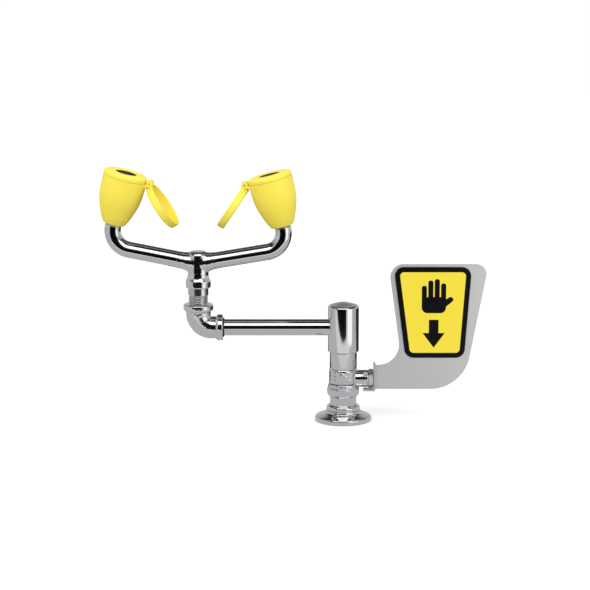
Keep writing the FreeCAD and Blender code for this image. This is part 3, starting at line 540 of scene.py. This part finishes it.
nipple = {"threadRadius": 10.2, "pitch": 1.814, "threadTop": 133.6, "radius": 10.6, "top": 143.0}
bm = bmesh.new()
atHub = shifted(armReach, 0, 0)
lathe(bm, [(6.5, elbow["top"] - 2), (nipple["threadRadius"] - 0.85, elbow["top"] - 2), (nipple["threadRadius"] - 0.85, nipple["threadTop"] - 0.3),
           (nipple["radius"], nipple["threadTop"] + 0.5, 0.2), (nipple["radius"], nipple["top"]), (6.5, nipple["top"])], atHub, closed=True)
thread(bm, nipple["threadRadius"], 0.95, nipple["pitch"], elbow["top"] - 1.6, nipple["threadTop"] + 0.8, atHub)
finishPiece(bm, "yokeNipple", ["yoke_nipple"], [threadChrome])

leftPin, rightPin = middle("left_hinge_pin"), middle("right_hinge_pin")
across = rightPin - leftPin
yokePlace = atHub @ Matrix.Rotation(math.atan2(across.y, across.x), 4, "Z")
yoke = {"meet": 167.2, "rise": 10.3, "stub": 23.0, "corner": 94.0, "bend": 20.5, "lean": 14.5, "baseReach": 24.0}
nodes["gland_nut"].data.materials[0] = castChrome
hub = {"low": 141.8, "collarTop": 149.2, "collarRadius": 13.0, "neckLow": 152.6, "radius": 10.9, "top": 179.8}
bm = bmesh.new()
lathe(bm, [(0, hub["low"]), (hub["collarRadius"] + 0.1, hub["low"], 0.4), (hub["collarRadius"] + 0.1, hub["collarTop"], 1.0),
           (hub["radius"], hub["neckLow"], 2.5), (hub["radius"], hub["top"] + 0.3, 4.8), (0, hub["top"] + 0.3)])
for side in (0, 180):
    stubPlace = turnedBy(side, "Z") @ shifted(0, 0, yoke["meet"]) @ turnedBy(90 - yoke["rise"], "Y")
    flare = smoothLine([(10.7, 1.0), (10.6, 5.0), (10.3, 8.5), (9.8, 11.5), (9.2, 14.5), (8.85, 17.5), (8.72, 20.0), (8.7, 22.6)], 3)
    lathe(bm, [(0, 1.0)] + [tuple(point) for point in flare] + [(0, 22.6)], stubPlace)
bm = melted(bm, 0.48, 16)
bmesh.ops.transform(bm, matrix=yokePlace, verts=bm.verts)
finishPiece(bm, "yokeHub", ["yoke_hub"], [castChrome], 60)

# ---- both arms of the yoke with their heads ----

head = {"radius": 23.0, "shellTop": 49.6, "top": 55.7, "outlet": 11.0, "disc": 14.0, "discThick": 2.0, "wall": 2.5,
        "engaged": 8.0, "sunk": 0.5, "pitch": 1.411, "pinOut": 26.7, "pinUp": 51.0, "pinRadius": 1.25, "earGap": 3.5, "earThick": 2.6, "earRadius": 3.6}
stations = [(0.0, 11.5), (2.2, 12.6), (4.2, 13.8), (7.4, 15.41), (10.6, 16.7), (13.7, 17.89), (16.9, 19.0), (20.1, 20.1),
            (23.3, 20.95), (26.4, 21.6), (30.0, 22.2), (34.5, 22.66), (40.0, 22.91), (46.0, 23.0), (49.6, 23.0)]
dustCap = {"radius": 24.8, "wall": 1.2, "depth": 8.2, "plate": 1.6, "over": 0.45, "leafHalf": 3.1, "knuckle": 2.6, "turn": 222.0, "gap": 0.4}


rise = math.radians(yoke["rise"])
lean = math.radians(yoke["lean"])
cornerPoint = Vector((yoke["corner"], 0, yoke["meet"] + yoke["corner"] * math.tan(rise)))
headUp = Vector((-math.sin(lean), 0, math.cos(lean)))
bendTurn = math.degrees(math.pi / 2 + lean - rise)
trim = yoke["bend"] * math.tan(math.radians(bendTurn / 2))
armAlong = Vector((math.cos(rise), 0, math.sin(rise)))

for side, half in (("right", 0), ("left", 180)):
    sidePlace = yokePlace @ turnedBy(half, "Z")
    headPlace = sidePlace @ Matrix.Translation(cornerPoint + headUp * yoke["baseReach"]) @ turnedBy(-yoke["lean"], "Y") @ turnedBy(180, "Z")

    bm = bmesh.new()
    start = Vector((0, 0, yoke["meet"])) + armAlong * (yoke["stub"] - 1.5)
    bendStart = cornerPoint - armAlong * trim
    circle = bmesh.ops.create_circle(bm, radius=pipe["radius"], segments=72, matrix=Matrix.Translation(start) @ turnedBy(90 - yoke["rise"], "Y"))["verts"]
    end = bmesh.ops.extrude_edge_only(bm, edges=edgesOf(circle))["geom"]
    endVerts = [item for item in end if isinstance(item, bmesh.types.BMVert)]
    bmesh.ops.translate(bm, vec=bendStart - start, verts=endVerts)
    bendCentre = bendStart + Vector((-armAlong.z, 0, armAlong.x)) * yoke["bend"]
    bmesh.ops.spin(bm, geom=endVerts + edgesOf(endVerts), cent=bendCentre, axis=(0, -1, 0), angle=math.radians(bendTurn), steps=30)
    bmesh.ops.recalc_face_normals(bm, faces=bm.faces)
    bmesh.ops.solidify(bm, geom=bm.faces[:], thickness=pipe["radius"] - pipe["tubeBore"])
    bmesh.ops.transform(bm, matrix=sidePlace, verts=bm.verts)
    finishPiece(bm, side + "ArmTube", [side + "_arm_tube"], [polishedChrome], 60)

    low = trim - yoke["baseReach"]
    bm = bmesh.new()
    lathe(bm, [(6.9, low), (pipe["radius"] - 0.1, low), (pipe["radius"] - 0.1, low + 0.3), (pipe["radius"] - 0.75, low + 0.5),
               (pipe["radius"] - 0.75, head["engaged"]), (6.9, head["engaged"])], headPlace, closed=True)
    thread(bm, pipe["radius"], 0.8, head["pitch"], low, 0.6, headPlace)
    finishPiece(bm, side + "Adapter", [side + "_head_adapter"], [threadChrome])

    bm = bmesh.new()
    inner = [(r - head["wall"], z) for z, r in reversed(stations) if z > 14]
    outer = [(r, z) for z, r in (tuple(p) for p in smoothLine(stations))]
    lathe(bm, [(pipe["radius"] + 0.1, 0.1), (outer[0][0] - 0.6, 0.1, 0.3)] + outer[2:] + inner + [(9.2, 14.5), (9.2, head["engaged"]),
               (pipe["radius"] + 0.1, head["engaged"])], headPlace, 128, True)
    ear = [(head["radius"] - 1.8, head["pinUp"] - 5.6), (head["radius"] - 1.8, head["shellTop"]), (head["radius"] + 0.35, head["shellTop"]),
           (head["radius"] + 0.35, head["pinUp"] + 1.5), (head["pinOut"] - 1.0, head["pinUp"] + head["earRadius"], 1.0),
           (head["pinOut"] + head["earRadius"], head["pinUp"] + head["earRadius"], 3.2),
           (head["pinOut"] + head["earRadius"], head["pinUp"] - head["earRadius"], 3.4), (head["pinOut"] - 0.8, head["pinUp"] - head["earRadius"])]
    for near in (head["earGap"], -head["earGap"] - head["earThick"]):
        slab(bm, ear, near, near + head["earThick"], headPlace, 0.35)
    finishPiece(bm, side + "Shell", [side + "_head_shell"], [headYellow], 40)

    ledge = head["shellTop"] + head["discThick"]
    bm = bmesh.new()
    lathe(bm, [(head["disc"] + 0.1, head["shellTop"] - 3.2), (head["radius"] - head["wall"] - 0.1, head["shellTop"] - 3.2),
               (head["radius"] - head["wall"] - 0.1, head["shellTop"] + 0.1), (head["radius"] - 0.6, head["shellTop"] + 0.1),
               (head["radius"] - 0.6, head["shellTop"] + 0.55), (head["radius"], head["shellTop"] + 0.9, 0.3),
               (head["radius"] - 0.1, head["top"], 3.2), (head["outlet"] + 0.6, head["top"], 0.5), (head["outlet"], head["top"] - 0.6), (head["outlet"], ledge),
               (head["disc"] + 0.1, ledge)], headPlace, 128, True)
    finishPiece(bm, side + "Ring", [side + "_head_ring"], [headYellow], 40)

    bm = bmesh.new()
    low = head["shellTop"]
    face = head["top"] - head["sunk"]
    lathe(bm, [(0, low), (head["disc"], low), (head["disc"], ledge), (head["outlet"] - 0.1, ledge), (head["outlet"] - 0.1, face, 0.4),
               (head["outlet"] - 0.9, face), (head["outlet"] - 1.2, face - 0.8, 0.3),
               (2.9, face - 0.8, 0.3), (2.6, face + 0.1, 0.3), (1.5, face + 0.1), (1.2, face - 0.9), (0, face - 0.9)], headPlace, 72)
    for count, radius in ((6, 5.2), (12, 8.2)):
        for i in range(count):
            nozzle = headPlace @ turnedBy(360 * i / count, "Z") @ shifted(radius, 0, 0)
            lathe(bm, [(0.7, face - 1.4), (1.15, face - 1.4), (1.05, face - 0.15, 0.15), (0.7, face - 0.15, 0.1)], nozzle, 16, True)
    for i in range(6):
        rib = headPlace @ turnedBy(30 + 60 * i, "Z") @ shifted(6.2, 0, face - 0.6)
        made = bmesh.ops.create_cube(bm, size=1, matrix=rib @ Matrix.Diagonal((7.4, 0.9, 0.9, 1)))["verts"]
        bmesh.ops.bevel(bm, geom=edgesOf(made), affect="EDGES", offset=0.12, segments=2, profile=0.5, material=-1)
    finishPiece(bm, side + "SprayDisc", [side + "_spray_disc"], [discBlack], 40)

    pinPlace = headPlace @ shifted(head["pinOut"], 0, head["pinUp"]) @ turnedBy(90, "X")
    reach = head["earGap"] + head["earThick"]
    bm = bmesh.new()
    lathe(bm, [(0, -reach), (head["pinRadius"], -reach, 0.3), (head["pinRadius"], reach, 0.3), (0, reach)], pinPlace, 32)
    finishPiece(bm, side + "Pin", [side + "_hinge_pin"], [hardwareSteel])

    innerZ = head["top"] + dustCap["over"]
    topZ = innerZ + dustCap["plate"]
    lowZ = topZ - dustCap["depth"]
    innerR = dustCap["radius"] - dustCap["wall"]
    bm = bmesh.new()
    lathe(bm, [(0, innerZ), (innerR, innerZ, 1.2), (innerR, lowZ + 0.2, 0.2), (dustCap["radius"] - 0.1, lowZ, 0.4), (dustCap["radius"], lowZ + 2.0, 0.5),
               (dustCap["radius"] - 0.2, topZ, 2.0), (dustCap["radius"] - 3.0, topZ, 0.4), (dustCap["radius"] - 3.4, topZ - 0.4, 0.3),
               (0, topZ - 0.4)], steps=128)
    cutter = bmesh.new()
    span = head["earGap"] + head["earThick"] + dustCap["gap"]
    bmesh.ops.create_cube(cutter, size=1, matrix=shifted(dustCap["radius"] - 1, 0, (lowZ - 1 + head["pinUp"] + head["earRadius"] + dustCap["gap"]) / 2)
                          @ Matrix.Diagonal((10, 2 * span, head["pinUp"] + head["earRadius"] + dustCap["gap"] - lowZ + 1, 1)))
    bm = carved(bm, cutter)
    leafTop = topZ - 0.5
    knuckle = dustCap["knuckle"]
    slab(bm, [(innerR, head["pinUp"] + head["earRadius"]), (innerR, leafTop), (head["pinOut"] - 1.5, leafTop, 0.8),
              (head["pinOut"] + 0.67 * knuckle, head["pinUp"] + 0.74 * knuckle), (head["pinOut"] - knuckle, head["pinUp"])],
         -dustCap["leafHalf"], dustCap["leafHalf"], flat, 0.3)
    lathe(bm, [(head["pinRadius"] + 0.05, -dustCap["leafHalf"]), (knuckle, -dustCap["leafHalf"], 0.3), (knuckle, dustCap["leafHalf"], 0.3),
               (head["pinRadius"] + 0.05, dustCap["leafHalf"])], shifted(head["pinOut"], 0, head["pinUp"]) @ turnedBy(90, "X"), 48, True)
    pinAt = shifted(head["pinOut"], 0, head["pinUp"])
    bmesh.ops.transform(bm, matrix=headPlace @ pinAt @ turnedBy(dustCap["turn"], "Y") @ pinAt.inverted(), verts=bm.verts)
    finishPiece(bm, side + "DustCap", [side + "_dust_cap"], [headYellow], 40)
    print(side, "head ready")

# ---- push flag and its sign ----

flag = {"thick": 1.9, "front": 12.6, "tabX": 31.6, "tabBack": 8.4, "low": 36.2, "neckTop": 61.8, "top": 168.3, "bend": 1.6,
        "lip": 10.7, "lipHalf": 5.0, "lipLow": 31.9}
bladeStart = flag["tabX"] + flag["thick"] + flag["bend"]
bendOuter = flag["thick"] + flag["bend"]
bm = bmesh.new()
slab(bm, [(bladeStart, flag["low"]), (124.5, flag["low"], 33.1), (150.0, flag["top"], 13.3), (46.3, flag["top"], 16.0),
          (60.8, flag["neckTop"], 25.15), (bladeStart, flag["neckTop"])], -flag["front"], -flag["front"] + flag["thick"], flat, 0.25)
bendLine = wireIn(bm, [(bladeStart, flag["low"] + 0.25), (bladeStart, flag["neckTop"] - 0.25)], False)
bmesh.ops.delete(bm, geom=bendLine, context="VERTS")
height = flag["neckTop"] - flag["low"]
made = bmesh.ops.create_grid(bm, x_segments=1, y_segments=1, size=0.5, matrix=shifted(bladeStart, -flag["front"] + flag["thick"] / 2, flag["low"] + height / 2)
                             @ turnedBy(90, "Y") @ Matrix.Diagonal((height, flag["thick"], 1, 1)))["verts"]
bendFace = list(made[0].link_faces)
hingeAt = (flag["tabX"] + bendOuter, -flag["front"] + bendOuter, 0)
bmesh.ops.spin(bm, geom=bendFace + edgesOf(made) + made, cent=hingeAt, axis=(0, 0, 1), angle=math.radians(-90), steps=10)
tabPlace = shifted(flag["tabX"], 0, 0) @ turnedBy(90, "Z")
slab(bm, [(hingeAt[1], flag["low"]), (-flag["lipHalf"], flag["low"]), (-flag["lipHalf"], flag["lipLow"]), (flag["lipHalf"], flag["lipLow"]),
          (flag["lipHalf"], flag["low"]), (flag["tabBack"], flag["low"], 2.5), (flag["tabBack"], flag["neckTop"], 4.0), (hingeAt[1], flag["neckTop"])],
     0, -flag["thick"], tabPlace, 0.2)
made = bmesh.ops.create_cube(bm, size=1, matrix=shifted(flag["tabX"] - flag["lip"] / 2, 0, flag["lipLow"] + flag["thick"] / 2)
                             @ Matrix.Diagonal((flag["lip"], 2 * flag["lipHalf"], flag["thick"], 1)))["verts"]
bmesh.ops.bevel(bm, geom=edgesOf(made), affect="EDGES", offset=0.25, segments=2, profile=0.5, material=-1)
finishPiece(bm, "pushFlag", ["push_flag"], [handleSteel])

sign = {"thick": 0.8, "border": 5.3}
bm = bmesh.new()
slab(bm, [(51.8, 165.4, 10.8), (132.5, 165.4, 10.2), (125.3, 69.7, 8.8), (64.4, 69.7, 8.4)], -flag["front"] - sign["thick"], -flag["front"])
frontFace = min(bm.faces, key=lambda face: face.calc_center_median().y)
bmesh.ops.inset_region(bm, faces=[frontFace], thickness=sign["border"], use_even_offset=True)
for face in bm.faces:
    face.material_index = 1
frontFace.material_index = 0
finishPiece(bm, "signPlate", ["sign_plate"], [signYellow, signBlack])


symbol = {"middle": 93.5, "palmLow": 117.0, "palmTop": 134.0, "palmHalf": 12.6, "finger": 5.2, "step": 6.65,
          "arrowTop": 110.0, "arrowNeck": 96.0, "arrowTip": 80.5, "arrowHalf": 5.0, "arrowWing": 11.5}


def signShapes(name, outlines):
    # flat printed shapes, each a hair prouder than the one before so none shares a face
    bm = bmesh.new()
    front = -flag["front"] - sign["thick"]
    for count, outline in enumerate(outlines):
        slab(bm, outline, front - 0.04 - 0.01 * count, front + 0.1)
    finishPiece(bm, name, ["sign_plate"], [signBlack])


left, right = symbol["middle"] - symbol["palmHalf"], symbol["middle"] + symbol["palmHalf"]
palm = [[(left, symbol["palmLow"], 6.0), (right, symbol["palmLow"], 6.0), (right, symbol["palmTop"], 2.0), (left, symbol["palmTop"], 2.0)]]
for place, top in enumerate((146.0, 151.5, 153.0, 148.5)):
    near = left + place * symbol["step"]
    palm.append([(near, symbol["palmTop"] - 5), (near + symbol["finger"], symbol["palmTop"] - 5), (near + symbol["finger"], top, 2.4), (near, top, 2.4)])
palm.append([(right - 6, symbol["palmLow"] + 2), (right + 8.5, symbol["palmLow"] + 14, 2.4), (right + 5.2, symbol["palmLow"] + 18, 2.4), (right - 6, symbol["palmLow"] + 11)])
signShapes("palmMark", palm)
wide, slim = symbol["arrowWing"], symbol["arrowHalf"]
signShapes("downArrow", [[(symbol["middle"] + side * half, height) for side, half, height in (
    (-1, slim, symbol["arrowTop"]), (1, slim, symbol["arrowTop"]), (1, slim, symbol["arrowNeck"]), (1, wide, symbol["arrowNeck"]),
    (1, 0, symbol["arrowTip"]), (-1, wide, symbol["arrowNeck"]), (-1, slim, symbol["arrowNeck"]))]])
print("flag and sign ready")

# ---- studio ----

studio = {"floor": 24.0, "aim": (-0.0504, 0.0, 0.1336), "distance": 3.0, "elevation": 11.0, "frameWidth": 0.6136}


def sheetOf(name, width, height, place, material):
    bm = bmesh.new()
    bmesh.ops.create_grid(bm, x_segments=1, y_segments=1, size=0.5)
    bmesh.ops.transform(bm, matrix=place @ Matrix.Diagonal((width, height, 1, 1)), verts=bm.verts)
    mesh = bpy.data.meshes.new(name)
    bm.to_mesh(mesh)
    bm.free()
    mesh.materials.append(material)
    sheet = bpy.data.objects.new(name, mesh)
    bpy.context.scene.collection.objects.link(sheet)
    return sheet


def stagePaint(name, colour, glow=0.0):
    material = bpy.data.materials.new(name)
    material.use_nodes = True
    shader = material.node_tree.nodes["Principled BSDF"]
    shader.inputs["Base Color"].default_value = (*colour, 1)
    shader.inputs["Roughness"].default_value = 0.9
    shader.inputs["Specular IOR Level"].default_value = 0.0
    shader.inputs["Emission Color"].default_value = (1, 1, 1, 1)
    shader.inputs["Emission Strength"].default_value = glow
    return material


def hiddenCard(name, width, height, place, material):
    card = sheetOf(name, width, height, place, material)
    card.visible_camera = False
    card.visible_diffuse = False
    card.visible_shadow = False
    return card


def upright(x, y, z, turn):
    return Matrix.Translation((x, y, z)) @ Matrix.Rotation(math.radians(turn), 4, "Z") @ Matrix.Rotation(math.radians(90), 4, "X")


floor = sheetOf("floor", studio["floor"], studio["floor"], flat, stagePaint("pale floor", (0.9, 0.9, 0.9), 0.12))
floor.visible_glossy = False
cardBlack = stagePaint("card black", (0.004, 0.004, 0.004))
cardWhite = stagePaint("card white", (0.9, 0.9, 0.9), 1.3)
cardGrey = stagePaint("card grey", (0.0, 0.0, 0.0), 0.50)
cardPale = stagePaint("card pale", (0.0, 0.0, 0.0), 0.74)
cardSoft = stagePaint("card soft", (0.0, 0.0, 0.0), 1.15)
cardDim = stagePaint("card dim", (0.0, 0.0, 0.0), 0.45)
cardDark = stagePaint("card dark", (0.0, 0.0, 0.0), 0.03)
floor.visible_diffuse = False
hiddenCard("mirror floor", 24, 24, shifted(0, 0, -0.002), cardGrey).visible_diffuse = True
hiddenCard("near card", 1.1, 0.15, shifted(0.0, -0.335, 0.0015), cardPale)
hiddenCard("back card", 1.42, 1.2, shifted(0.49, 0.73, 0.001), cardDark)
hiddenCard("front card", 0.70, 0.36, upright(-0.205, -0.415, 0.18, 0), cardBlack)
hiddenCard("side card", 0.26, 0.30, upright(0.29, -0.27, 0.15, 50), cardSoft)
hiddenCard("overhead strip", 1.6, 0.14, shifted(-0.05, 0.26, 1.2), cardDim)
hiddenCard("top card", 1.6, 0.62, shifted(-0.05, -0.72, 0.98) @ turnedBy(40, "X"), cardWhite)


def softLight(name, place, aim, width, height, power):
    data = bpy.data.lights.new(name, "AREA")
    data.shape, data.size, data.size_y, data.energy = "RECTANGLE", width, height, power
    lamp = bpy.data.objects.new(name, data)
    bpy.context.scene.collection.objects.link(lamp)
    lamp.location = place
    lamp.rotation_euler = (Vector(aim) - Vector(place)).to_track_quat("-Z", "Y").to_euler()
    lamp.visible_glossy = False


softLight("key", (-0.9, -1.5, 1.6), (-0.05, 0, 0.12), 1.4, 1.0, 16.4)
softLight("fill", (1.4, -1.2, 1.0), (-0.05, 0, 0.12), 1.4, 1.0, 8.0)

world = bpy.data.worlds.new("studio")
bpy.context.scene.world = world
world.use_nodes = True
sky = world.node_tree
for node in list(sky.nodes):
    sky.nodes.remove(node)
skyOut = sky.nodes.new("ShaderNodeOutputWorld")
shown, lit = sky.nodes.new("ShaderNodeBackground"), sky.nodes.new("ShaderNodeBackground")
mirrored = sky.nodes.new("ShaderNodeBackground")
path, skyCoords = sky.nodes.new("ShaderNodeLightPath"), sky.nodes.new("ShaderNodeTexCoord")
split, ramp = sky.nodes.new("ShaderNodeSeparateXYZ"), sky.nodes.new("ShaderNodeValToRGB")
pickGloss, pickCamera = sky.nodes.new("ShaderNodeMixShader"), sky.nodes.new("ShaderNodeMixShader")
shown.inputs["Color"].default_value = (1, 1, 1, 1)
shown.inputs["Strength"].default_value = 1.0
lit.inputs["Strength"].default_value = 1.0
lit.inputs["Color"].default_value = (1, 1, 1, 1)
for stop, place, tone in ((0, 0.0, 0.62), (1, 0.5, 0.36), (2, 0.6, 0.03)):
    if stop > 1:
        ramp.color_ramp.elements.new(place)
    ramp.color_ramp.elements[stop].position, ramp.color_ramp.elements[stop].color = place, (tone, tone, tone, 1)
sky.links.new(skyCoords.outputs["Generated"], split.inputs[0])
sky.links.new(split.outputs["Z"], ramp.inputs[0])
sky.links.new(ramp.outputs[0], mirrored.inputs["Color"])
sky.links.new(path.outputs["Is Glossy Ray"], pickGloss.inputs[0])
sky.links.new(lit.outputs[0], pickGloss.inputs[1])
sky.links.new(mirrored.outputs[0], pickGloss.inputs[2])
sky.links.new(path.outputs["Is Camera Ray"], pickCamera.inputs[0])
sky.links.new(pickGloss.outputs[0], pickCamera.inputs[1])
sky.links.new(shown.outputs[0], pickCamera.inputs[2])
sky.links.new(pickCamera.outputs[0], skyOut.inputs[0])

camera = bpy.data.objects.new("camera", bpy.data.cameras.new("camera"))
bpy.context.scene.collection.objects.link(camera)
tilt = math.radians(studio["elevation"])
aim = Vector(studio["aim"])
camera.location = aim + Vector((0, -math.cos(tilt), math.sin(tilt))) * studio["distance"]
camera.rotation_euler = (aim - camera.location).to_track_quat("-Z", "Y").to_euler()
camera.data.sensor_width = 36.0
camera.data.lens = studio["distance"] * 36.0 / studio["frameWidth"]
camera.data.clip_end = 30.0
bpy.context.scene.camera = camera
bpy.context.scene.view_settings.view_transform = "Standard"
print("studio and camera ready")

bpy.context.view_layer.update()
